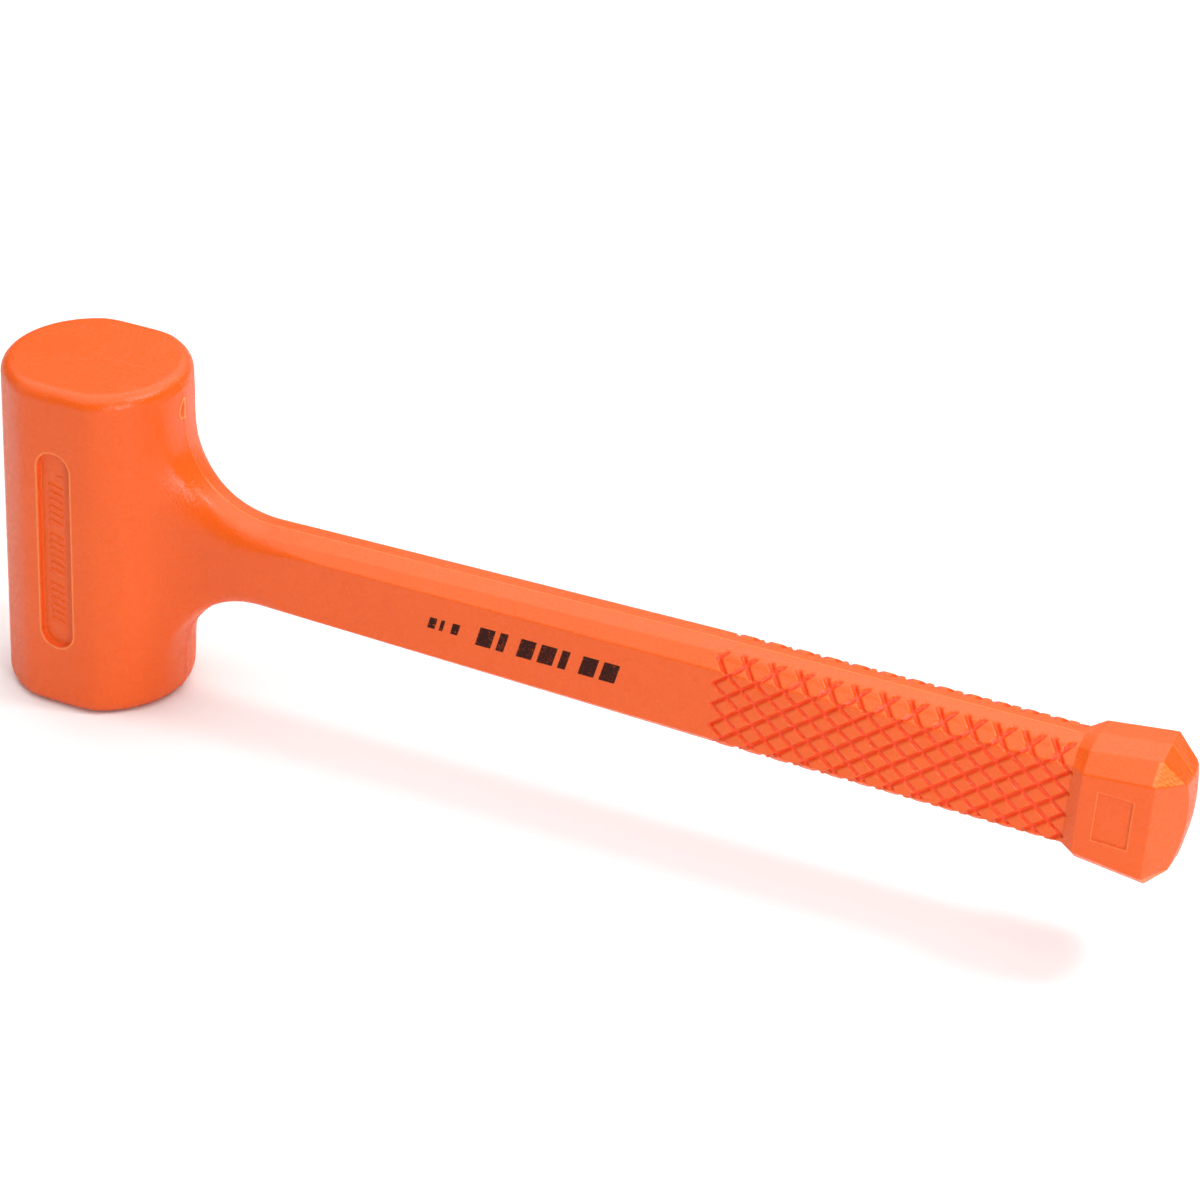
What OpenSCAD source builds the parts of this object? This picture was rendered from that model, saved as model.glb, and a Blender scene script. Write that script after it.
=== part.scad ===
// Dead blow mallet: a one-piece cast urethane casing over a welded steel skeleton.
// The head holds a sealed steel canister, part filled with loose steel shot, and a steel rod
// runs from the canister down the handle.
// Frame: origin at the centre of the lower strike face, +Z along the head to the upper strike
// face, +X along the handle to the butt. The mallet is symmetric about Y = 0. Millimetres.

/* [Head] */
// Diameter of the head
head_d = 54; // [52:0.5:58]
// Height of the head between its two strike faces
head_h = 103; // [98:1:112]
// Depth of the flat cut on each side of the head
flat_cut = 1.45; // [0.5:0.05:2.5]
// Radius of the rounded rim at each strike face
rim_r = 4; // [2:0.5:5]
// Height of the recessed panel on each side flat
panel_h = 63; // [40:1:70]
// Width of the recessed panel
panel_w = 10.3; // [8:0.1:13]
// Depth of the recessed panel
panel_depth = 1.6; // [0.5:0.1:2.5]
// Height of the panel's middle over the head's middle
panel_rise = 0.6; // [-2:0.1:2]

/* [Neck] */
// Radius of the sweep from the head into the handle, seen from the side
neck_side_r = 28; // [24:1:30]
// Radius of the same sweep, seen from above
neck_plan_r = 30; // [22:1:34]

/* [Handle] */
// Distance from the head's axis to the top of the butt's crowned end
reach = 324.3; // [300:0.1:340]
// Height of the handle over its parting ridges where it leaves the neck
front_tall = 24.5; // [23:0.1:26]
// Width of the handle there
front_wide = 17.7; // [16:0.1:19]
// Height of the flat side face there
front_side = 18.3; // [16:0.1:19]
// Height of the handle at the start of the grip
grip_tall = 30.1; // [28:0.1:32]
// Width of the handle there
grip_wide = 19.5; // [18:0.1:21]
// Height of the flat side face there
grip_side = 21.4; // [19:0.1:23]
// Height of the handle at the end of the grip
grip_end_tall = 32; // [30:0.1:34]
// Width of the handle there
grip_end_wide = 20.8; // [19:0.1:23]
// Height of the flat side face there
grip_end_side = 23.6; // [21:0.1:25]
// Width of the shallow roof on the top and the bottom of the handle
roof_wide = 11.3; // [9:0.1:13]
// Rise of each roof to the parting ridge
roof_rise = 0.85; // [0.3:0.05:1.2]

/* [Butt] */
// Rise of the crowned end
crown = 2.1; // [0.5:0.1:2.5]
// Height of the butt at its largest section
butt_tall = 39.7; // [36:0.1:43]
// Width of the butt at its largest section
butt_wide = 27.8; // [25:0.1:30]
// Height of the butt's flat side face
butt_side = 28.6; // [26:0.1:31]
// Height of the recessed rectangle on each side of the butt
butt_panel_h = 14.7; // [8:0.1:18]
// Width of the recessed rectangle
butt_panel_w = 9.3; // [6:0.1:12]
// Depth of the recessed rectangle
butt_panel_depth = 0.7; // [0.3:0.1:1.2]

/* [Canister and rod] */
// Outside diameter of the canister tube
can_d = 38.1; // [36:0.1:40]
// Wall of the canister tube
can_wall = 2; // [1.5:0.1:3]
// Length of the canister tube
can_len = 80; // [76:1:82]
// Thickness of each end cap
cap_t = 3; // [2:0.5:4]
// Diameter of the handle rod
rod_d = 10; // [8:0.5:11]
// Distance from the end of the rod to the end of the butt
rod_cover = 23; // [15:1:40]

/* [Shot] */
// Diameter of one pellet
shot_d = 6; // [5:0.5:7]
// Number of layers of pellets
shot_layers = 11; // [8:1:12]

/* [Hidden] */

$fn = 64;

orange = [0.96, 0.42, 0.18];
ink = [0.23, 0.08, 0.06];
steel = [0.62, 0.63, 0.65];
weld_grey = [0.42, 0.42, 0.44];
shot_grey = [0.72, 0.73, 0.75];

head_r = head_d / 2;
mid_z = head_h / 2;
flat_y = head_r - flat_cut;

// Stations along the handle, measured from the head's axis
handle_start = 34;
front_x = 56;
grip_x = 190;
end_x = reach - crown;
butt_bevel_x = end_x - 28.8;
butt_x = end_x - 25.1;
butt_chamfer_x = end_x - 6;

// How much smaller the butt starts than its largest section, and its roof than its width
butt_grow_wide = 1.4;
butt_grow_side = 4.4;
butt_grow_tall = 5;
butt_roof = butt_wide - 11.6;
butt_rise = 0.7;

// The butt's end face, inside its chamfers, and the rounds of its crown
end_tall = 26.7;
end_wide = 13.2;
end_corner = 0.6;
end_rise = 0.01;
crown_steps = 4;

// The recessed rectangle lies on the butt's side, which still spreads along its length
butt_panel_x = butt_x + 9.5;
butt_panel_z = 0.8;
butt_panel_y = (butt_wide - butt_grow_wide * (butt_chamfer_x - butt_panel_x) / (butt_chamfer_x - butt_x)) / 2;

// The neck's sweeps meet the head's cylinder a little inside it, at a shallow angle,
neck_inset = 0.2;
// and its bands run out just under the handle's own faces
neck_tuck = 0.15;
neck_half_tall = front_tall / 2 - roof_rise - neck_tuck;
neck_half_wide = front_wide / 2 - neck_tuck;
neck_end_r = head_r - neck_inset + neck_side_r;
neck_core = 16;
neck_plan_reach = head_r - neck_inset + neck_plan_r;
neck_plan_x = sqrt(pow(neck_plan_reach, 2) - pow(neck_half_wide + neck_plan_r, 2));
neck_start = (head_r - neck_inset) * neck_plan_x / neck_plan_reach;

// The bevels between the neck's side and its top follow the handle's bevels
bevel_dy = front_wide / 2 - roof_wide / 2;
bevel_dz = front_tall / 2 - roof_rise - front_side / 2;
bevel_angle = atan2(bevel_dy, bevel_dz);
bevel_half = roof_wide / 2 * cos(bevel_angle) + neck_half_tall * sin(bevel_angle) - neck_tuck;
bevel_sweep_r = 28;
bevel_sweep_x = 52;

can_r = can_d / 2;
can_bore_r = can_r - can_wall;
can_low = mid_z - can_len / 2;
groove = 1.2;
weld_crown = 0.5;

// Anchoring grooves turned in the rod, which the urethane fills
rod_r = rod_d / 2;
rod_end = reach - rod_cover;
rod_groove_w = 4;
rod_groove_depth = 1;
rod_groove_pitch = 30;
rod_groove_count = 8;
rod_groove_first = 60;
rod_weld_leg = 5;
rod_weld_toe = 0.4;

// Pellets stand a small gap apart in close-packed layers
gap = 0.02;
shot_pitch = shot_d + gap;
layer_rise = shot_pitch * sqrt(2 / 3);
shot_low = can_low + gap + shot_d / 2;
shot_reach = can_bore_r - gap - shot_d / 2;
row_range = ceil(can_r / shot_pitch) + 1;

// Printed marks: plain slanted bars on the side of the handle
ink_t = 0.06;
mark_z = 0.9;
mark_slant = 0.25;
small_mark_x = 109;
small_mark_h = 3.5;
small_mark_w = 2.2;
small_mark_pitch = 3.5;
large_mark_x = 123.7;
large_mark_h = 6;
large_mark_w = 4.6;
large_mark_pitch = 6.2;

// Half outline of a section of the handle, ten corners with a shallow roof, in Y and Z
function section(wide, side, tall, roof, rise) =
    let (w = wide / 2, s = side / 2, t = tall / 2, r = roof / 2)
    [[0, t], [r, t - rise], [w, s], [w, -s], [r, rise - t],
     [0, -t], [-r, rise - t], [-w, -s], [-w, s], [-r, t - rise]];

// A bar through a list of [x, section] stations, skinned with triangles
module bar(stations) {
    n = len(stations[0][1]);
    last = len(stations) - 1;
    points = [for (s = stations) for (p = s[1]) [s[0], p.x, p.y]];
    skin = [for (k = [0:last - 1]) for (i = [0:n - 1]) let (j = (i + 1) % n)
        each [[k * n + i, k * n + j, (k + 1) * n + i],
              [k * n + j, (k + 1) * n + j, (k + 1) * n + i]]];
    near_end = [for (i = [n - 1:-1:0]) i];
    far_end = [for (i = [0:n - 1]) last * n + i];
    polyhedron(points, concat(skin, [near_end], [far_end]));
}

// The handle's sections from inside the neck to the end of the grip, grown sideways by extra
function handle_stations(extra) = [
    [handle_start, section(front_wide + 2 * extra, front_side, front_tall, roof_wide, roof_rise)],
    [front_x, section(front_wide + 2 * extra, front_side, front_tall, roof_wide, roof_rise)],
    [grip_x, section(grip_wide + 2 * extra, grip_side, grip_tall, roof_wide, roof_rise)],
    [butt_bevel_x, section(grip_end_wide + 2 * extra, grip_end_side, grip_end_tall,
                           roof_wide, roof_rise)]
];

// The butt's end section shrunk to a share s of its size
function end_section(s) = section(s * end_wide, s * (end_tall - end_corner), s * end_tall,
                                  s * (end_wide - end_corner), s * end_rise);

// The flared butt: a bevel up from the grip, a block that still grows, a chamfer and a crown
butt_stations = [
    [butt_x, section(butt_wide - butt_grow_wide, butt_side - butt_grow_side,
                     butt_tall - butt_grow_tall, butt_roof, butt_rise)],
    [butt_chamfer_x, section(butt_wide, butt_side, butt_tall, butt_roof, butt_rise)],
    for (k = [crown_steps:-1:1]) let (s = k / crown_steps) [reach - crown * s * s, end_section(s)]
];

module stadium(width, height) {
    square([width, height - width], center = true);
    for (s = [-1, 1]) translate([0, s * (height - width) / 2]) circle(d = width);
}

// Square with rounded corners, centred
module rounded_box(width, height, radius) {
    square([width, height - 2 * radius], center = true);
    square([width - 2 * radius, height], center = true);
    for (x = [-1, 1], y = [-1, 1])
        translate([x * (width / 2 - radius), y * (height / 2 - radius)]) circle(radius);
}

// The head: a cylinder with round rims and a flat on each side
module head() {
    intersection() {
        rotate_extrude() intersection() {
            rounded_box(head_d, head_h, rim_r);
            translate([0, -head_h / 2]) square([head_r, head_h]);
        }
        rotate([90, 0, 90]) linear_extrude(2 * head_d, center = true)
            rounded_box(2 * flat_y, head_h, rim_r);
    }
}

// Flat band of half thickness half_w along X, swept wider towards the head by arcs of radius r
module swept_band(half_w, r, centre_x) {
    difference() {
        translate([neck_start, -half_w - r]) square([neck_end_r, 2 * (half_w + r)]);
        for (s = [-1, 1]) translate([centre_x, s * (half_w + r)]) circle(r);
        for (s = [-1, 1]) translate([centre_x, s * (half_w + r) - r]) square([neck_end_r, 2 * r]);
    }
}

// The collar that sweeps out of the head all round, flat on top beyond the sweep
module collar() {
    tall = 2 * (neck_half_tall + neck_side_r);
    rotate_extrude() difference() {
        translate([neck_core, -tall / 2]) square([neck_end_r - neck_core, tall]);
        for (s = [-1, 1]) translate([neck_end_r, s * tall / 2]) circle(neck_side_r);
    }
}

// A swept band stood up through the whole neck, turned about X by an angle
module neck_cut(angle, half_w, r, centre_x) {
    rotate([angle, 0, 0]) linear_extrude(4 * head_d, center = true) swept_band(half_w, r, centre_x);
}

// The neck: the collar cut to the handle's sides and to its bevels
module neck() {
    intersection() {
        collar();
        neck_cut(0, neck_half_wide, neck_plan_r, neck_plan_x);
        neck_cut(bevel_angle, bevel_half, bevel_sweep_r, bevel_sweep_x);
        neck_cut(-bevel_angle, bevel_half, bevel_sweep_r, bevel_sweep_x);
    }
}

// Rod along X from inside the canister, with its anchoring grooves
module rod_blank() {
    rotate([0, 90, 0]) difference() {
        cylinder(h = rod_end, r = rod_r);
        for (k = [0:rod_groove_count - 1])
            translate([0, 0, rod_groove_first + k * rod_groove_pitch]) difference() {
                cylinder(h = rod_groove_w, r = rod_r + 1);
                translate([0, 0, -1]) cylinder(h = rod_groove_w + 2, r = rod_r - rod_groove_depth);
            }
    }
}

// Cone of weld round the rod, from inside the tube's wall to where it runs out on the rod
module rod_weld_blank() {
    translate([can_r - rod_weld_leg, 0, 0]) rotate([0, 90, 0])
        cylinder(h = 2 * rod_weld_leg, r1 = rod_r + rod_weld_leg, r2 = rod_r - rod_weld_toe);
}

module canister_outside(h) {
    cylinder(h = h, r = can_r, center = true);
}

// Ring of weld in the groove between the tube and a cap, crowned a little proud
module cap_weld_ring() {
    rotate_extrude() polygon([[can_r - groove, 0], [can_r, -groove], [can_r + weld_crown, -groove / 2],
                              [can_r + weld_crown, groove / 2], [can_r, groove]]);
}

// Centres of the pellets in layer k, alternate layers sitting in the hollows of the one below
function layer(k) =
    let (shift = (k % 2) * shot_pitch / sqrt(3))
    [for (i = [-row_range:row_range], j = [-row_range:row_range])
        let (x = (i + j / 2) * shot_pitch, y = j * shot_pitch * sqrt(3) / 2 + shift)
        if (norm([x, y]) <= shot_reach) [x, y, shot_low + k * layer_rise]];

module casing() {
    color(orange) difference() {
        translate([0, 0, mid_z]) {
            head();
            neck();
            bar(concat(handle_stations(0), butt_stations));
        }
        for (s = [-1, 1]) {
            translate([0, s * flat_y, mid_z + panel_rise]) rotate([90, 0, 0])
                linear_extrude(2 * panel_depth, center = true) stadium(panel_w, panel_h);
            translate([butt_panel_x, s * butt_panel_y, mid_z + butt_panel_z]) rotate([90, 0, 0])
                linear_extrude(2 * butt_panel_depth, center = true)
                    square([butt_panel_w, butt_panel_h], center = true);
        }
        translate([0, 0, mid_z]) {
            canister_outside(can_len + 2 * cap_t);
            rod_blank();
            rod_weld_blank();
            for (s = [-1, 1]) translate([0, 0, s * can_len / 2]) cap_weld_ring();
        }
    }
}

module canister_tube() {
    color(steel) translate([0, 0, mid_z]) difference() {
        canister_outside(can_len);
        cylinder(h = can_len + 1, r = can_bore_r, center = true);
        for (s = [-1, 1]) translate([0, 0, s * can_len / 2]) cap_weld_ring();
    }
}

// End cap at the lower (s = -1) or the upper (s = 1) end of the canister
module cap(s) {
    color(steel) translate([0, 0, mid_z]) difference() {
        translate([0, 0, s * (can_len + cap_t) / 2]) canister_outside(cap_t);
        translate([0, 0, s * can_len / 2]) cap_weld_ring();
    }
}

module cap_weld(s) {
    color(weld_grey) translate([0, 0, mid_z + s * can_len / 2]) cap_weld_ring();
}

module handle_rod() {
    color(steel) translate([0, 0, mid_z]) difference() {
        rod_blank();
        canister_outside(can_len);
    }
}

module rod_weld() {
    color(weld_grey) translate([0, 0, mid_z]) difference() {
        rod_weld_blank();
        rod_blank();
        canister_outside(can_len);
    }
}

module steel_shot() {
    color(shot_grey) for (k = [0:shot_layers - 1]) for (p = layer(k)) translate(p) sphere(d = shot_d);
}

// A row of count slanted bars of the given height, with every third bar half as wide again
module mark_row(count, width, height, pitch) {
    for (i = [0:count - 1]) let (w = i % 3 == 1 ? 0.5 * width : width, lean = mark_slant * height)
        translate([i * pitch, -height / 2]) polygon([[0, 0], [w, 0], [w + lean, height], [lean, height]]);
}

// A thin film of ink on the near side of the handle
module printed_marks() {
    color(ink) translate([0, 0, mid_z]) difference() {
        intersection() {
            bar(handle_stations(ink_t));
            translate([0, 0, mark_z]) rotate([90, 0, 0]) linear_extrude(front_wide) {
                translate([small_mark_x, 0])
                    mark_row(3, small_mark_w, small_mark_h, small_mark_pitch);
                translate([large_mark_x, 0])
                    mark_row(7, large_mark_w, large_mark_h, large_mark_pitch);
            }
        }
        bar(handle_stations(0));
    }
}

casing();
printed_marks();
canister_tube();
cap(-1);  // lower_cap
cap(1);  // upper_cap
cap_weld(-1);  // lower_cap_weld
cap_weld(1);  // upper_cap_weld
handle_rod();
rod_weld();
steel_shot();
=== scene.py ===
import math

import bmesh
import bpy
import numpy as np
from mathutils import Matrix, Vector


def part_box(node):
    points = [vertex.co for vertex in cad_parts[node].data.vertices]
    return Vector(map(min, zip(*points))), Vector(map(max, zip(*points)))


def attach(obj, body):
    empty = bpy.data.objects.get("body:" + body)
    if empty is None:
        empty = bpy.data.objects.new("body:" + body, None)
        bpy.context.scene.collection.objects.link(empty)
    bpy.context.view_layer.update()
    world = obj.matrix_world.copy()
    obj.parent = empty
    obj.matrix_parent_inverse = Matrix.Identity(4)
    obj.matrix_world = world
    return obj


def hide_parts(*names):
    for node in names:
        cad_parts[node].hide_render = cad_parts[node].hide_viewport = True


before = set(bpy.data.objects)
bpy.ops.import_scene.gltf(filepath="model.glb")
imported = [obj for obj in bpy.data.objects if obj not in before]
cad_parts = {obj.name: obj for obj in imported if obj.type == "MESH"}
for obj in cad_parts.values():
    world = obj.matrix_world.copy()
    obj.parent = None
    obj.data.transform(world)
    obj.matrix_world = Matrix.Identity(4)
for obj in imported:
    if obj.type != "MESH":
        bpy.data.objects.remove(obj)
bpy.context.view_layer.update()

# ---------------------------------------------------------------- driving dimensions
MM = 0.001
case_low, case_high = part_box("casing")

# The head: its radius, the lip round its panels, its flats, half its height, its reach to the
# butt's end, the round at its rims, and the round where a flat meets the cylinder
HEAD_R = -case_low.x / MM
LIP_H = 0.12
FLAT_Y = case_high.y / MM - LIP_H
HEAD_HALF = case_high.z / MM / 2
REACH = case_high.x / MM
RIM_R = 4.0
FLAT_SOFT = 1.4

# The butt's end: the height of its crown, how far the crown's top is over the middle, half the
# size of the flat inside the chamfers, and the round between that flat and the crown
CROWN = 1.95
CROWN_RISE = 2.0
END_X = REACH - CROWN
END_HALF_W = 6.6
END_HALF_H = 13.35
END_SOFT = 0.3

# Where the finely meshed handle takes over from the head, and the pitch of the head's grid
JOIN_X = 34.0
GRID = 0.55

# Along the handle: distance from the head's axis, then half the width, half the side face's
# height, half the height, half the roof's width, and the roof's rise to the parting plane
STATIONS = (
    (JOIN_X, 8.85, 9.15, 12.25, 5.65, 0.85),
    (56.0, 8.85, 9.15, 12.25, 5.65, 0.85),
    (190.0, 9.75, 10.7, 15.05, 5.65, 0.85),
    (END_X - 28.8, 10.4, 11.8, 16.0, 5.65, 0.85),
    (END_X - 25.1, 13.2, 12.1, 17.35, 8.1, 0.7),
    (END_X - 6.0, 13.9, 14.3, 19.85, 8.1, 0.7),
    (END_X, END_HALF_W, END_HALF_H - 0.3, END_HALF_H, END_HALF_W - 0.3, 0.01),
    (END_X + 2.0, 4.2, 10.9, 11.2, 3.9, 0.01),
)
EDGE_SOFT = 0.15

# The neck's sweeps: their radii seen from the side and from above, how gently they sink into the
# head's wall, the highest they reach over the side sweep's centre, and the blend with the head
SWEEP_R = 28.8
SWEEP_X = HEAD_R + SWEEP_R
PLAN_R = 30.0
SINK = 0.02
SWEEP_TOP = 6.0
NECK_BLEND = 2.6

# The handle's long edges are rounder near the neck: the rounds at four distances from the axis
SOFT_X = (30.0, 45.0, 62.0, 75.0)
TOP_SOFT = (0.7, 0.6, 0.4, 0.2)
SIDE_SOFT = (5.5, 4.5, 1.6, 0.2)

# Diamond knurl: its start, the pitch of the groove crossings along the handle and up it, the last
# crossing, the grooves' width and depth, half the width of a groove's floor, how far from the
# parting plane the grooves run out, and how far the diamonds swell along the edges of the roof
KNURL_X = 193.85
KNURL_PITCH_X = 3.971
KNURL_PITCH_Z = 3.292
KNURL_LAST = 25
KNURL_W = 1.55
KNURL_DEPTH = 0.95
KNURL_FLOOR = 0.12
KNURL_NONE, KNURL_FULL = 3.8, 5.2
PILLOW_H = 0.18

# The head's side panels, and the slanted ribs on their floors
PANEL_HALF_W = 5.15
PANEL_HALF_H = 31.5
PANEL_RISE = 0.6
PANEL_DEPTH = 1.6
RIB_PITCH = 2.3
RIB_SLANT = 0.28
RIB_HALF_W = 2.3
RIB_SPAN = 24.5
RIB_H = 0.3
RIB_GROUP = 7.0

# The butt's side panels: their two ends, bottom and top, their depth, and the lip round them
BUTT_PANEL = (END_X - 20.25, END_X - 10.95, -6.55, 8.15)
BUTT_PANEL_DEPTH = 0.45
BUTT_LIP_H = 0.1

# The parting line: half its width, how proud it is on the neck's side and how deep it is cut away
# from there, and how much of it shows on the butt's roof
RIDGE_W = 0.36
RIDGE_H = 0.16
TRIM_DEPTH = 0.07
ROOF_RIDGE = 0.25

# The gate scar: its width at five heights, the height of its lips and the depth of its hollow
SCAR_Z = (38.8, 39.8, 41.2, 43.5, 45.2)
SCAR_W = (0.7, 2.2, 2.7, 1.9, 0.6)
SCAR_LIP_H = 0.36
SCAR_DEPTH = 0.7

# Height of the crinkles on the butt's corner facets
CRINKLE_H = 0.1

# Name of the attribute of light painted on the skin: 1 for a pale painted highlight, -1 for painted shade
# at the bottom of a groove
PAINTED_LIGHT_ATTRIBUTE = "painted_light"


# ---------------------------------------------------------------- shape of the casting
def smooth_max(a, b, soft):
    mix = np.clip(0.5 + 0.5 * (a - b) / soft, 0.0, 1.0)
    return b + (a - b) * mix + soft * mix * (1.0 - mix)


def smooth_min(a, b, soft):
    return -smooth_max(-a, -b, soft)


def fade(value, start, end):
    """0 at start, 1 at end, smooth in between."""
    t = np.clip((value - start) / (end - start), 0.0, 1.0)
    return t * t * (3.0 - 2.0 * t)


def section(x):
    """The handle's section at x, with the corners between its stations rounded."""
    table = np.array(STATIONS)
    steps = np.linspace(-EDGE_SOFT, EDGE_SOFT, 7)
    columns = table.T[1:]
    return [np.mean([np.interp(x + s, table[:, 0], column) for s in steps], axis=0) for column in columns]


def head(x, y, z):
    """Below zero inside the head: a cylinder with round rims and a flat on each side."""
    wall = smooth_max(np.hypot(x, y) - HEAD_R, np.abs(y) - FLAT_Y, FLAT_SOFT)
    rim = np.abs(z) - HEAD_HALF
    corner = np.hypot(np.maximum(wall + RIM_R, 0.0), np.maximum(rim + RIM_R, 0.0))
    return np.minimum(np.maximum(wall, rim), -RIM_R) + corner


def collar(radius, up, level):
    """The sweep seen from the side, from the head's wall out to a roof at the given level."""
    over = up - level - SWEEP_R
    arc = SWEEP_R - np.hypot(radius - SWEEP_X, over)
    wall = np.maximum(radius - HEAD_R + SINK * over**2, over - SWEEP_TOP)
    return np.where(radius >= SWEEP_X, up - level, np.where(over > 0, wall, arc))


def plan(x, out, radius, wide):
    """The sweep seen from above, from the head's wall out to the handle's side."""
    centre_y = wide + PLAN_R
    centre_x = np.sqrt((HEAD_R + PLAN_R) ** 2 - centre_y**2)
    beyond = (out * centre_x - x * centre_y) / (HEAD_R + PLAN_R)
    arc = PLAN_R - np.hypot(x - centre_x, out - centre_y)
    wall = radius - HEAD_R + SINK * beyond**2
    return np.where(x > centre_x, out - wide, np.where(beyond > 0, wall, arc))


def arm(x, y, z):
    """Below zero inside the neck, handle and butt."""
    wide, side, tall, roof, rise = section(x)
    out, up, radius = np.abs(y), np.abs(z), np.hypot(x, y)
    top = collar(radius, up, tall - out * rise / roof)
    shoulder = collar(radius, up, tall - rise)
    flank = plan(x, out, radius, wide)
    across, drop = wide - roof, tall - rise - side
    bevel = (flank * drop + (shoulder + drop) * across) / np.hypot(across, drop)
    upper = smooth_max(top, bevel, np.interp(x, SOFT_X, TOP_SOFT))
    return smooth_max(upper, flank, np.interp(x, SOFT_X, SIDE_SOFT))


def end_face(x, y, z):
    """The butt's crowned end, whose top is a little above its middle."""
    return x - REACH + CROWN * (y**2 + (z - CROWN_RISE) ** 2) / (END_HALF_W**2 + END_HALF_H**2)


def casting(x, y, z):
    """Below zero inside the whole casting."""
    whole = smooth_min(head(x, y, z), arm(x, y, z), NECK_BLEND)
    return smooth_max(whole, end_face(x, y, z), END_SOFT)


def gradient(points, step=0.02):
    """Slope of the casting's function at each point."""
    slope = np.empty_like(points)
    for axis in range(3):
        shift = np.zeros(3)
        shift[axis] = step
        slope[:, axis] = (casting(*(points + shift).T) - casting(*(points - shift).T)) / (2 * step)
    return slope


def unit(vectors):
    return vectors / np.maximum(np.linalg.norm(vectors, axis=1, keepdims=True), 1e-9)


def settle(points, rounds=4):
    """Moves points onto the casting's surface."""
    for _ in range(rounds):
        slope = gradient(points)
        value = casting(*points.T)
        points = points - slope * (value / np.maximum((slope**2).sum(1), 1e-6))[:, None]
    return points


# ---------------------------------------------------------------- relief on the casting
def ridge(x, y, z):
    """Height of the parting line in the plane y = 0: proud on the neck's side, trimmed elsewhere."""
    line = np.clip(1.0 - np.abs(y) / RIDGE_W, 0.0, 1.0)
    proud = fade(x, HEAD_R - 7, HEAD_R - 2) * fade(np.abs(z), HEAD_HALF, HEAD_HALF - 1.2)
    return line * (RIDGE_H * proud - TRIM_DEPTH * (1.0 - proud) * fade(x, -5.0, 15.0))


def gate_scar(y, z):
    """The sprue's torn outline on the head above the neck: two thin lips round a hollow."""
    width = np.interp(z, SCAR_Z, SCAR_W)
    present = fade(z, 38.6, 39.0) * (1.0 - fade(z, 45.2, 45.7))
    ends = np.exp(-(((z - 39.2 + 0.4 * y) / 0.22) ** 2)) + np.exp(-(((z - 45.2) / 0.22) ** 2))
    inside = (y < 0.2) & (y > -width - 0.2)
    lips = np.exp(-(((y + width) / 0.26) ** 2)) + np.exp(-((y / 0.26) ** 2)) + ends * inside
    hollow = np.exp(-(((y + width / 2) / 0.6) ** 2) - ((z - 42.4) / 1.1) ** 2)
    return present * (SCAR_LIP_H * np.minimum(lips, 1.0) - SCAR_DEPTH * hollow)


def slot_distance(x, z):
    """Distance outside the side panel's stadium outline."""
    return np.hypot(x, np.maximum(np.abs(z - PANEL_RISE) - PANEL_HALF_H + PANEL_HALF_W, 0.0)) - PANEL_HALF_W


def panel(x, z):
    """Height of the side panel: a thin raised lip, a steep wall, and a floor with slanted ribs, of
    which one in each group is left out."""
    distance = slot_distance(x, z)
    lip = LIP_H * np.exp(-(((distance - 0.3) / 0.25) ** 2))
    wall = -PANEL_DEPTH * (1.0 - fade(distance, -0.45, -0.05))
    phase = (z + RIB_SLANT * x) / RIB_PITCH
    rib = fade(np.abs(phase - np.round(phase)), 0.34, 0.22)
    present = fade(np.abs(np.mod(np.round(phase), RIB_GROUP) - 3.0), 0.0, 0.5)
    across = 1.0 - fade(np.abs(x), RIB_HALF_W - 0.2, RIB_HALF_W)
    along = 1.0 - fade(np.abs(z), RIB_SPAN, RIB_SPAN + 0.3)
    return lip + wall + RIB_H * rib * present * across * along


def knurl(x, y, z):
    """Depth of the diamond grooves round the grip, which run out on the top and the bottom, and
    how far the diamonds swell along the edges of the roof."""
    u = (x - KNURL_X) / KNURL_PITCH_X
    v = z / KNURL_PITCH_Z
    per_step = 1.0 / math.hypot(1.0 / KNURL_PITCH_X, 1.0 / KNURL_PITCH_Z)
    off_even = np.abs(v - 2.0 * np.round(v / 2.0))
    margin = np.minimum(u - off_even, KNURL_LAST - 1.0 + off_even - u) * per_step
    depth = np.zeros_like(x)
    for diagonal in (u + v, u - v):
        away = np.abs(diagonal - 2.0 * np.round(diagonal / 2.0)) * per_step
        depth = np.maximum(depth, 1.0 - fade(away, KNURL_FLOOR, KNURL_W / 2))
    edge = fade(np.abs(y), 4.3, 5.1) * fade(np.abs(y), 7.6, 6.2)
    pillow = PILLOW_H * (1.0 - depth) * fade(margin, -0.35, 0.6) * edge
    groove = KNURL_DEPTH * depth * fade(margin, -0.6, -0.35) * fade(np.abs(y), KNURL_NONE, KNURL_FULL)
    return groove, pillow


def butt_panel(x, z):
    """Height of the shallow rectangle on each side of the butt, with a thin lip round it."""
    x0, x1, z0, z1 = BUTT_PANEL
    outside = np.maximum(np.maximum(x0 - x, x - x1), np.maximum(z0 - z, z - z1))
    lip = BUTT_LIP_H * np.exp(-(((outside - 0.2) / 0.2) ** 2))
    return lip - BUTT_PANEL_DEPTH * (1.0 - fade(outside, -0.15, 0.05))


def crinkle(x, y, z, out):
    """The butt's four corner facets, and the crinkles on them."""
    facet = fade(np.minimum(np.abs(out[..., 1]), np.abs(out[..., 2])), 0.36, 0.42) * (x > END_X - 7)
    waves = np.sin(4.6 * z + 2.3 * y + 1.8 * np.sin(1.9 * y + 0.7 * x))
    cross = np.sin(7.9 * y - 3.1 * x + 1.3 * np.sin(2.3 * z))
    return facet, facet * (0.6 * waves + 0.4 * cross)


# ---------------------------------------------------------------- mesh of the head
def grid_axis(low, high):
    """Grid lines a pitch apart, with the middle of a cell at zero."""
    first = math.floor(low / GRID) + 0.5
    return (first + np.arange(int((high - low) / GRID) + 3)) * GRID


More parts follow.
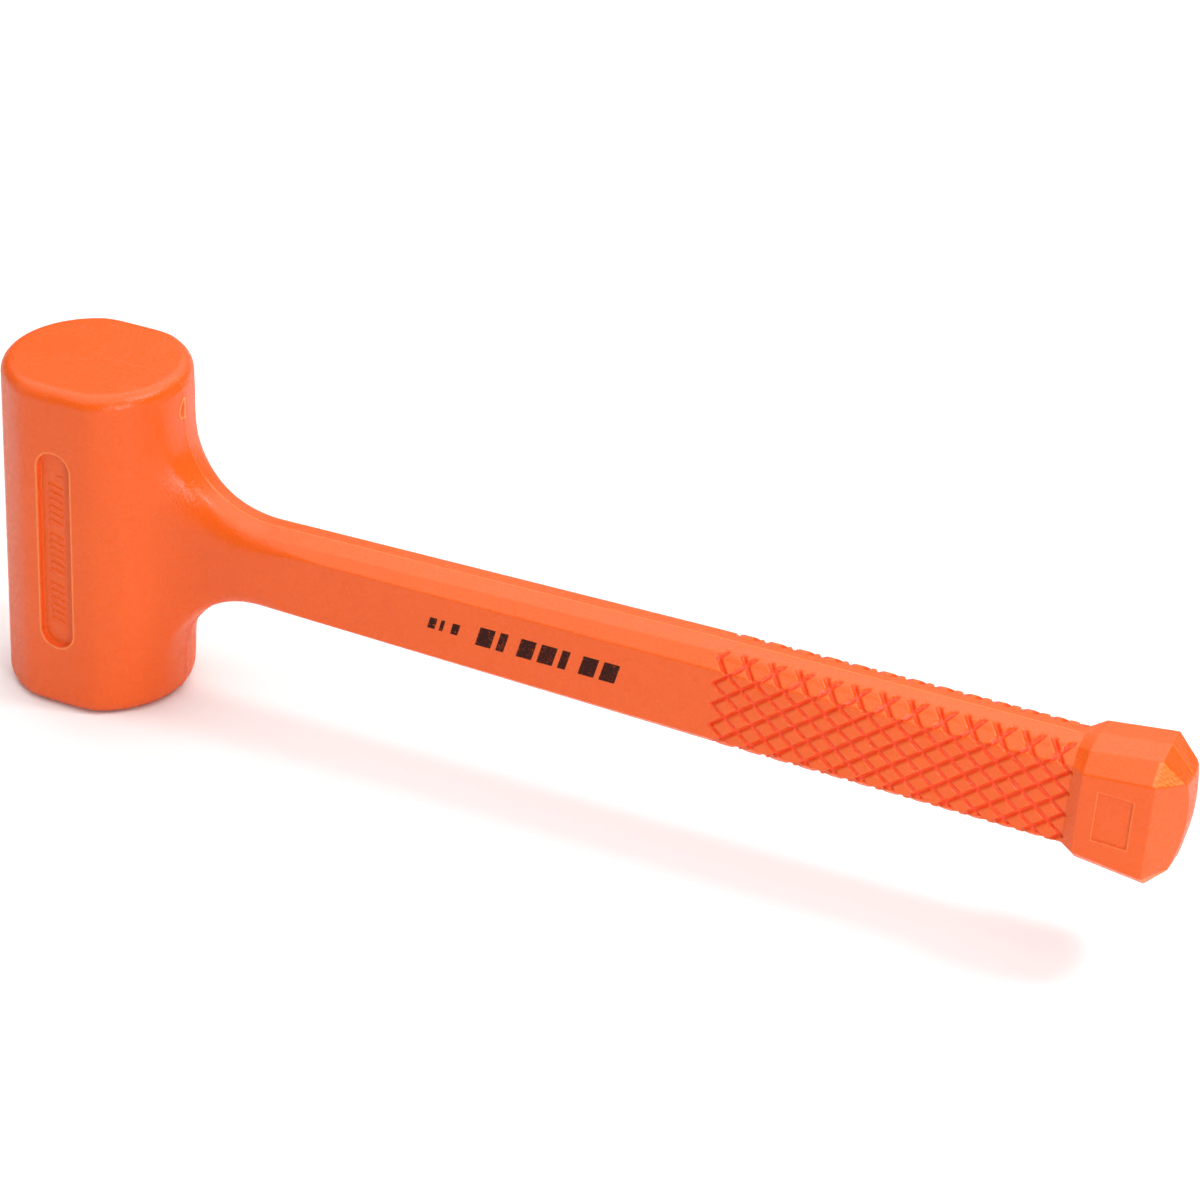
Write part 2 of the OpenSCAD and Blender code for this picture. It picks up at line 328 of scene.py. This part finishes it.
def net(values, axes):
    """Surface net: a point in every cell that the surface crosses, and a quad round every grid
    edge that crosses it."""
    rings, crossings = [], []
    for axis in range(3):
        start, end = [slice(None)] * 3, [slice(None)] * 3
        start[axis], end[axis] = slice(None, -1), slice(1, None)
        before, after = values[tuple(start)], values[tuple(end)]
        at = np.argwhere((before < 0) != (after < 0))
        before, after = before[tuple(at.T)], after[tuple(at.T)]
        point = np.stack([axes[i][at[:, i]] for i in range(3)], axis=1)
        point[:, axis] += GRID * before / (before - after)
        ring = []
        for second, third in ((0, 0), (1, 0), (1, 1), (0, 1)):
            cell = at.copy()
            cell[:, (axis + 1) % 3] += second - 1
            cell[:, (axis + 2) % 3] += third - 1
            ring.append(np.ravel_multi_index(tuple(cell.T), values.shape))
        ring = np.stack(ring, axis=1)
        ring[before > 0] = ring[before > 0, ::-1]
        rings.append(ring)
        crossings.append(np.repeat(point, 4, axis=0))
    crossings = np.concatenate(crossings)
    _, corner = np.unique(np.concatenate(rings), return_inverse=True)
    corner = corner.reshape(-1)
    share = np.bincount(corner)
    points = np.stack([np.bincount(corner, crossings[:, i]) / share for i in range(3)], axis=1)
    return points, corner.reshape(-1, 4)


def even_out(points, quads, rounds=2):
    """Spreads the points evenly over the surface."""
    for _ in range(rounds):
        total, count = np.zeros_like(points), np.zeros(len(points))
        for k in range(4):
            np.add.at(total, quads[:, k], points[quads[:, k - 3]] + points[quads[:, k - 1]])
            np.add.at(count, quads[:, k], 2)
        points = settle(total / count[:, None], 2)
    return points


def refine(mesh, wanted, cuts):
    """Splits the faces whose centres are wanted."""
    edges = {edge for face in mesh.faces if wanted(*face.calc_center_median()) for edge in face.edges}
    bmesh.ops.subdivide_edges(mesh, edges=list(edges), cuts=cuts, use_grid_fill=True)


def near_panel(x, y, z):
    return abs(y) > FLAT_Y - 0.3 and slot_distance(x, z) < 1.2


def near_ridge(x, y, z):
    return abs(y) < 1.1 * GRID


def near_gate(x, y, z):
    return x > HEAD_R - 2 and -5.0 < y < 1.0 and 37.5 < z < 49.5


def head_relief(points):
    """Adds the ridge, the gate scar and the side panels to points on the head. Returns the points
    and the light painted on the skin there: painted highlights and painted shade."""
    x, y, z = points.T
    out = unit(gradient(points))
    line = ridge(x, y, z)
    scar = np.where((x > HEAD_R - 2) & (np.abs(y + 2) < 3.2), gate_scar(y, z), 0.0)
    flat = (np.abs(y) > FLAT_Y - 0.3) & (slot_distance(x, z) < 1.5)
    relief = np.where(flat, panel(x * np.sign(-y), z), 0.0)
    # Painted light: a painted highlight along the upper parting line and a painted shadow along the lower
    # one, a painted highlight on the scar's lips and the panels' lips, and painted shade in the scar's
    # hollow and on the panels' steep walls
    thin = np.clip(line / RIDGE_H, 0, 1) * np.where(z > -10, 0.35, -0.8)
    thin = thin + np.clip(scar * 3, -1, 1) + np.clip(relief / LIP_H, 0, 1) * 0.7
    steep = np.clip(1.0 - np.abs(relief / PANEL_DEPTH + 0.5) / 0.42, 0.0, 1.0)
    return points + out * (line + scar + relief)[:, None], thin - 0.9 * steep


def head_mesh():
    """The head and the root of the neck, up to the join."""
    bound = (-HEAD_R - 1, JOIN_X + 3), (-HEAD_R - 1, HEAD_R + 1), (-HEAD_HALF - 1, HEAD_HALF + 1)
    axes = [grid_axis(low, high) for low, high in bound]
    x, y, z = np.meshgrid(*axes, indexing="ij", sparse=True)
    points, quads = net(casting(x, y, z), axes)
    points = even_out(points, quads)
    shell = bpy.data.meshes.new("head")
    shell.from_pydata(points.tolist(), [], quads.tolist())
    mesh = bmesh.new()
    mesh.from_mesh(shell)
    bpy.data.meshes.remove(shell)
    everything = mesh.verts[:] + mesh.edges[:] + mesh.faces[:]
    bmesh.ops.bisect_plane(mesh, geom=everything, dist=1e-4, plane_co=(JOIN_X, 0, 0), plane_no=(1, 0, 0),
                           clear_outer=True)
    refine(mesh, near_panel, 2)
    refine(mesh, lambda *centre: near_ridge(*centre) or near_gate(*centre), 2)
    refine(mesh, near_gate, 1)
    points = np.array([v.co for v in mesh.verts])
    settled = settle(points)
    on_join = np.abs(points[:, 0] - JOIN_X) < 1e-3
    settled[on_join, 0] = JOIN_X
    settled, thin = head_relief(settled)
    settled[on_join, 0] = JOIN_X
    # Each vertex keeps the light painted there: painted highlights and painted shade
    painted_light = mesh.verts.layers.float.new(PAINTED_LIGHT_ATTRIBUTE)
    for vertex, place, tone in zip(mesh.verts, settled, thin):
        vertex.co = place
        vertex[painted_light] = tone
    return mesh


# ---------------------------------------------------------------- mesh of the handle
def handle_distances():
    """Where the handle's rings are: close where the surface turns, is knurled or is recessed."""
    grip, butt = KNURL_X - 2, END_X - 30
    spans = [np.arange(JOIN_X + 0.45, 62, 0.45), np.arange(62, grip, 1.0), np.arange(grip, butt, 0.3),
             np.arange(butt, END_X - 23, 0.2), np.arange(END_X - 23, END_X - 7.5, 0.4),
             np.arange(END_X - 7.5, END_X - 4.5, 0.2), np.arange(END_X - 4.5, END_X - 1, 0.3),
             np.arange(END_X - 1, END_X + 0.6, 0.1), REACH - CROWN * np.linspace(0.82, 0.04, 24) ** 2]
    edges = [edge + side for edge in BUTT_PANEL[:2] for side in (-0.15, 0.0, 0.1)]
    return np.unique(np.round(np.concatenate(spans + [edges]), 3))


def spoke_angles(x):
    """Directions from the handle's axis to a ring's points, the same number at every x."""
    wide, side, tall, roof, rise = section(x[:, None])
    edges = [abs(edge) + side for edge in BUTT_PANEL[2:] for side in (-0.1, 0.0, 0.15)]
    rows = np.union1d(np.linspace(0, 8.6, 30), edges)[None, :]
    reach = np.linspace(0, 1, 11)[None, 1:]
    slope = np.linspace(0, 1, 17)[None, 1:]
    inward = np.linspace(0, 1, 15)[None, 1:]
    crest = np.array([[0.45, 0.3, 0.15, 0.0]])
    flat = np.arctan2(rows + 0 * side, wide + 0 * rows)
    above = np.arctan2(8.6 + (side - 8.6) * reach, wide)
    bevel = np.arctan2(side + (tall - rise - side) * slope, wide + (roof - wide) * slope)
    out = roof + (0.6 - roof) * inward
    top = np.arctan2(tall - out * rise / roof, out)
    middle = np.arctan2(tall + 0 * crest, crest)
    quarter = np.concatenate([flat, above, bevel, top, middle], axis=1)
    half = np.concatenate([quarter, math.pi - quarter[:, -2::-1]], axis=1)
    return np.concatenate([half, math.pi + half[:, 1:-1]], axis=1)


def handle_points():
    """Rings of points on the neck, handle and butt, with the knurl and the recesses cut in, and the
    light painted on the skin at each: painted highlights and painted shade."""
    x = handle_distances()
    angle = spoke_angles(x)
    x = x[:, None]
    cos, sin = np.cos(angle), np.sin(angle)
    near, far = np.zeros_like(angle), np.full_like(angle, 45.0)
    for _ in range(24):
        middle = (near + far) / 2
        outside = casting(x, middle * cos, middle * sin) > 0
        near, far = np.where(outside, near, middle), np.where(outside, middle, far)
    y, z = near * cos, near * sin
    points = np.stack([x + 0 * y, y, z], axis=-1)
    step = 0.02
    steps = np.eye(3) * step
    slope = [casting(x + dx, y + dy, z + dz) - casting(x - dx, y - dy, z - dz) for dx, dy, dz in steps]
    out = np.stack(slope, axis=-1)
    out /= np.linalg.norm(out, axis=-1, keepdims=True)
    on_butt = (np.abs(y) > 12.5) & (np.abs(out[..., 1]) > 0.9)
    on_roof = fade(x, END_X - 31, END_X - 29) * fade(x, END_X - 5.5, END_X - 7)
    line = ridge(x, y, z) * fade(x, REACH, REACH - 2) * (1.0 - (1.0 - ROOF_RIDGE) * on_roof)
    groove, pillow = knurl(x, y, z)
    recess = np.where(on_butt, butt_panel(x, z), 0.0)
    facet, folds = crinkle(x, y, z, out)
    height = line - groove + pillow + recess + CRINKLE_H * (folds - facet)
    # Painted light: a painted highlight on the parting line, the butt panels' lips and the corner facets
    # with their crinkles, and painted shade in the knurl's grooves
    tone = np.clip(line / RIDGE_H, 0, 1) * 0.55 + np.clip(recess / BUTT_LIP_H, 0, 1) * 0.5
    tone = tone - groove / KNURL_DEPTH
    tone = tone + 0.45 * facet + 0.3 * folds
    return points + out * height[..., None], tone


def add_handle(mesh):
    """Adds the handle's skin to the head's mesh and joins the two."""
    points, tones = handle_points()
    # Each vertex keeps the light painted there: painted highlights and painted shade
    painted_light = mesh.verts.layers.float[PAINTED_LIGHT_ATTRIBUTE]
    rings = [[mesh.verts.new(point) for point in ring] for ring in points]
    for ring, row in zip(rings, tones):
        for vertex, tone in zip(ring, row):
            vertex[painted_light] = tone
    count = len(rings[0])
    for ring, following in zip(rings, rings[1:]):
        for k in range(count):
            mesh.faces.new((ring[k - 1], ring[k], following[k], following[k - 1]))
    tip = mesh.verts.new((REACH, 0, 0))
    for k in range(count):
        mesh.faces.new((rings[-1][k - 1], rings[-1][k], tip))
    open_edges = [edge for edge in mesh.edges if edge.is_boundary]
    bmesh.ops.bridge_loops(mesh, edges=open_edges)
    bmesh.ops.recalc_face_normals(mesh, faces=mesh.faces[:])


def islands(mesh):
    """The mesh's vertices in connected groups."""
    left = set(mesh.verts)
    while left:
        group, queue = set(), [left.pop()]
        while queue:
            vertex = queue.pop()
            group.add(vertex)
            for edge in vertex.link_edges:
                other = edge.other_vert(vertex)
                if other in left:
                    left.discard(other)
                    queue.append(other)
        yield group


def add_cavity(mesh):
    """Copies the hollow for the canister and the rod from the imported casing, in metres."""
    packed = bmesh.new()
    packed.from_mesh(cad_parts["casing"].data)
    bmesh.ops.remove_doubles(packed, verts=packed.verts[:], dist=1e-6)
    skin = [v for group in islands(packed) if max(v.co.x for v in group) > (REACH - 1) * MM for v in group]
    bmesh.ops.delete(packed, geom=skin, context="VERTS")
    hollow = bpy.data.meshes.new("hollow")
    packed.to_mesh(hollow)
    mesh.from_mesh(hollow)
    bpy.data.meshes.remove(hollow)


def casing_skin():
    mesh = head_mesh()
    add_handle(mesh)
    for vertex in mesh.verts:
        vertex.co = (vertex.co + Vector((0, 0, HEAD_HALF))) * MM
    add_cavity(mesh)
    data = bpy.data.meshes.new("casing_skin")
    mesh.to_mesh(data)
    mesh.free()
    data.polygons.foreach_set("use_smooth", [True] * len(data.polygons))
    skin = bpy.data.objects.new("casing_skin", data)
    bpy.context.scene.collection.objects.link(skin)
    return skin


# ---------------------------------------------------------------- materials
def new_material(name):
    made = bpy.data.materials.new(name)
    made.use_nodes = True
    return made, made.node_tree, made.node_tree.nodes["Principled BSDF"]


def node(tree, kind, inputs=None, **settings):
    """Adds a shader node. Inputs are values, or sockets to link from."""
    made = tree.nodes.new("ShaderNode" + kind)
    for key, value in settings.items():
        setattr(made, key, value)
    for key, value in (inputs or {}).items():
        if isinstance(value, bpy.types.NodeSocket):
            tree.links.new(value, made.inputs[key])
        else:
            made.inputs[key].default_value = value
    return made


def noise(tree, scale, detail=3.0, rough=0.5, stretch=(1, 1, 1)):
    """Noise in the object's own metres: scale is in features a metre."""
    place = node(tree, "TexCoord").outputs["Object"]
    if stretch != (1, 1, 1):
        place = node(tree, "Mapping", {"Vector": place, "Scale": stretch}).outputs[0]
    values = {"Vector": place, "Scale": scale, "Detail": detail, "Roughness": rough}
    return node(tree, "TexNoise", values).outputs["Fac"]


def ramp(tree, value, low, high, low_at=0.3, high_at=0.7):
    """Maps a value to a range of numbers."""
    inputs = {"Value": value, "From Min": low_at, "From Max": high_at, "To Min": low, "To Max": high}
    return node(tree, "MapRange", inputs).outputs[0]


def mix(tree, amount, first, second):
    made = tree.nodes.new("ShaderNodeMix")
    made.data_type = "RGBA"
    for index, value in ((0, amount), (6, first), (7, second)):
        if isinstance(value, bpy.types.NodeSocket):
            tree.links.new(value, made.inputs[index])
        else:
            made.inputs[index].default_value = value
    return made.outputs[2]


def bump(tree, height, distance, strength=1.0, normal=None):
    inputs = {"Height": height, "Distance": distance, "Strength": strength}
    if normal is not None:
        inputs["Normal"] = normal
    return node(tree, "Bump", inputs).outputs[0]


# Base colours: the casing's in two shades that vary at random, its painted highlight, and its painted shade
# in grooves, hollows and on recess walls, then the ink, the weld metal and the floor
URETHANE = (0.765, 0.098, 0.0045, 1)
URETHANE_DEEP = (0.745, 0.09, 0.0035, 1)
# Painted highlight: a pale colour on lips, the upper parting line and the butt's corner facets
URETHANE_PAINTED_HIGHLIGHT = (0.95, 0.30, 0.085, 1)
# Painted shade: a deep saturated red in grooves, hollows, on recess walls and along the lower parting line
URETHANE_PAINTED_SHADE = (0.90, 0.058, 0.008, 1)
INK = (0.03, 0.006, 0.004, 1)
WELD_DARK = (0.22, 0.2, 0.19, 1)
WELD_LIGHT = (0.42, 0.38, 0.34, 1)
PAPER = (0.85, 0.85, 0.85, 1)
PAPER_PALE = (0.87, 0.87, 0.87, 1)


def urethane():
    """Grained, slightly glossy casting, whose gloss doesn't rise to a full sheen edge-on."""
    made, tree, shader = new_material("orange_urethane")
    tone = ramp(tree, noise(tree, 22, 4), 0, 1)
    colour = mix(tree, tone, URETHANE, URETHANE_DEEP)
    # Painted light from the mesh: toward the pale painted highlight, and toward the deep red painted shade
    painted_light = node(tree, "Attribute", attribute_name=PAINTED_LIGHT_ATTRIBUTE).outputs["Fac"]
    colour = mix(tree, ramp(tree, painted_light, 0, 1, 0.1, 1.0), colour, URETHANE_PAINTED_HIGHLIGHT)
    colour = mix(tree, ramp(tree, painted_light, 0, 1, -0.1, -1.0), colour, URETHANE_PAINTED_SHADE)
    tree.links.new(colour, shader.inputs["Base Color"])
    gloss = ramp(tree, noise(tree, 160, 4), 0.23, 0.3)
    tree.links.new(gloss, shader.inputs["Roughness"])
    sag = bump(tree, noise(tree, 55, 2), 0.0006, 0.5)
    grain = bump(tree, noise(tree, 1400, 2, 0.6), 0.00022, 0.7, sag)
    tree.links.new(grain, shader.inputs["Normal"])
    shader.inputs["IOR"].default_value = 1.36
    edge_on = node(tree, "LayerWeight", {"Blend": 0.5}).outputs["Facing"]
    tree.links.new(ramp(tree, edge_on, 0.62, 0.06, 0.5, 0.8), shader.inputs["Specular IOR Level"])
    return made


def ink():
    """Matte print, with the orange showing through its specks."""
    made, tree, shader = new_material("print_ink")
    speckle = ramp(tree, noise(tree, 2400, 3, 0.65), 0, 0.8, 0.60, 0.68)
    colour = mix(tree, speckle, INK, URETHANE)
    tree.links.new(colour, shader.inputs["Base Color"])
    shader.inputs["Roughness"].default_value = 0.6
    shader.inputs["Specular IOR Level"].default_value = 0.1
    tree.links.new(bump(tree, noise(tree, 1900, 3, 0.6), 0.00008, 0.5), shader.inputs["Normal"])
    return made


def steel(name, dark, light, scratch_scale, stretch, gloss=(0.22, 0.4), relief=0.00003):
    """Bare steel with tool marks drawn out along its long way."""
    made, tree, shader = new_material(name)
    marks = noise(tree, scratch_scale, 4, 0.65, stretch)
    colour = mix(tree, ramp(tree, noise(tree, 60, 3), 0, 1), dark, light)
    tree.links.new(colour, shader.inputs["Base Color"])
    tree.links.new(ramp(tree, marks, *gloss), shader.inputs["Roughness"])
    tree.links.new(bump(tree, marks, relief, 0.6), shader.inputs["Normal"])
    shader.inputs["Metallic"].default_value = 1.0
    return made


def weld():
    """Heat-tinted, rippled bead."""
    made, tree, shader = new_material("weld_metal")
    heat = ramp(tree, noise(tree, 180, 4), 0, 1)
    tree.links.new(mix(tree, heat, WELD_DARK, WELD_LIGHT), shader.inputs["Base Color"])
    tree.links.new(ramp(tree, noise(tree, 700, 4), 0.35, 0.6), shader.inputs["Roughness"])
    ripple = bump(tree, noise(tree, 450, 3), 0.0005, 0.8)
    tree.links.new(ripple, shader.inputs["Normal"])
    shader.inputs["Metallic"].default_value = 0.9
    return made


def dress(name, finish):
    """Gives a CAD node its finish."""
    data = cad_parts[name].data
    data.materials.clear()
    data.materials.append(finish)


# ---------------------------------------------------------------- the object
orange = urethane()
skin = casing_skin()
skin.data.materials.append(orange)
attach(skin, "mallet")
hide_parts("casing")

tube_steel = steel("canister_steel", (0.42, 0.43, 0.45, 1), (0.58, 0.59, 0.6, 1), 900, (1, 1, 0.05))
bar_steel = steel("rod_steel", (0.4, 0.4, 0.41, 1), (0.55, 0.55, 0.55, 1), 1500, (1, 0.1, 0.1))
ball_steel = steel("shot_steel", (0.5, 0.51, 0.53, 1), (0.68, 0.69, 0.7, 1), 1200, (1, 1, 1),
                   (0.1, 0.25), 0.00001)
weld_metal = weld()
dress("printed_marks", ink())
for part in ("canister_tube", "lower_cap", "upper_cap"):
    dress(part, tube_steel)
for part in ("lower_cap_weld", "upper_cap_weld", "rod_weld"):
    dress(part, weld_metal)
dress("handle_rod", bar_steel)
dress("steel_shot", ball_steel)


# ---------------------------------------------------------------- floor, light and camera
FLOOR_HALF = 3.0


def floor():
    """A sheet of pale paper."""
    corners = [(x * FLOOR_HALF, y * FLOOR_HALF, 0) for x, y in ((-1, -1), (1, -1), (1, 1), (-1, 1))]
    data = bpy.data.meshes.new("floor")
    data.from_pydata(corners, [], [(0, 1, 2, 3)])
    made, tree, shader = new_material("floor_paper")
    tone = mix(tree, ramp(tree, noise(tree, 3, 2), 0, 1), PAPER, PAPER_PALE)
    tree.links.new(tone, shader.inputs["Base Color"])
    shader.inputs["Roughness"].default_value = 0.9
    shader.inputs["Specular IOR Level"].default_value = 0.1
    data.materials.append(made)
    sheet = bpy.data.objects.new("floor", data)
    bpy.context.scene.collection.objects.link(sheet)


def softbox(name, place, aim, size, power):
    """A square white area light at place, facing aim."""
    data = bpy.data.lights.new(name, "AREA")
    data.size = size
    data.energy = power
    lamp = bpy.data.objects.new(name, data)
    lamp.location = place
    lamp.rotation_euler = (Vector(aim) - Vector(place)).to_track_quat("-Z", "Y").to_euler()
    bpy.context.scene.collection.objects.link(lamp)


def daylight(strength):
    """Even white light from all round."""
    world = bpy.data.worlds.new("studio")
    bpy.context.scene.world = world
    world.use_nodes = True
    background = world.node_tree.nodes["Background"]
    background.inputs["Color"].default_value = (1, 1, 1, 1)
    background.inputs["Strength"].default_value = strength


# The camera: degrees round from -Y and up, its roll, what it looks at and from how far, and its lens
CAMERA_AZIMUTH = 21.298
CAMERA_ELEVATION = 30.869
CAMERA_ROLL = 3.822
CAMERA_AIM = Vector((0.1561, 0.0, 0.06815))
CAMERA_DISTANCE = 0.9265
CAMERA_LENS = 102.22


def camera():
    turn, lift, roll = (math.radians(a) for a in (CAMERA_AZIMUTH, CAMERA_ELEVATION, CAMERA_ROLL))
    forward = Vector((-math.sin(turn) * math.cos(lift), math.cos(turn) * math.cos(lift), -math.sin(lift)))
    level = Vector((math.cos(turn), math.sin(turn), 0))
    right = math.cos(roll) * level + math.sin(roll) * level.cross(forward)
    data = bpy.data.cameras.new("camera")
    data.sensor_width = 36
    data.lens = CAMERA_LENS
    made = bpy.data.objects.new("camera", data)
    facing = Matrix((right, right.cross(forward), -forward)).transposed().to_4x4()
    made.matrix_world = Matrix.Translation(CAMERA_AIM - forward * CAMERA_DISTANCE) @ facing
    bpy.context.scene.collection.objects.link(made)
    bpy.context.scene.camera = made


floor()
daylight(0.17)
middle = (REACH / 2 * MM, 0, HEAD_HALF * MM)
neck = (0.03, 0, 0.07)
softbox("top_light", (0.1, 0.15, 1.3), middle, 2.4, 35)
softbox("back_light", (0.0, 1.3, 0.85), middle, 1.2, 3)
softbox("front_light", (-0.1, -1.3, 0.6), middle, 1.2, 0.3)
softbox("left_light", (-1.1, -0.6, 0.5), middle, 0.9, 2.2)
softbox("key_light", (0.97, -0.68, 0.36), neck, 0.2, 5.2)
softbox("rim_light", (0.8, 0.15, 1.0), neck, 0.2, 4)
camera()
bpy.context.scene.view_settings.view_transform = "Standard"
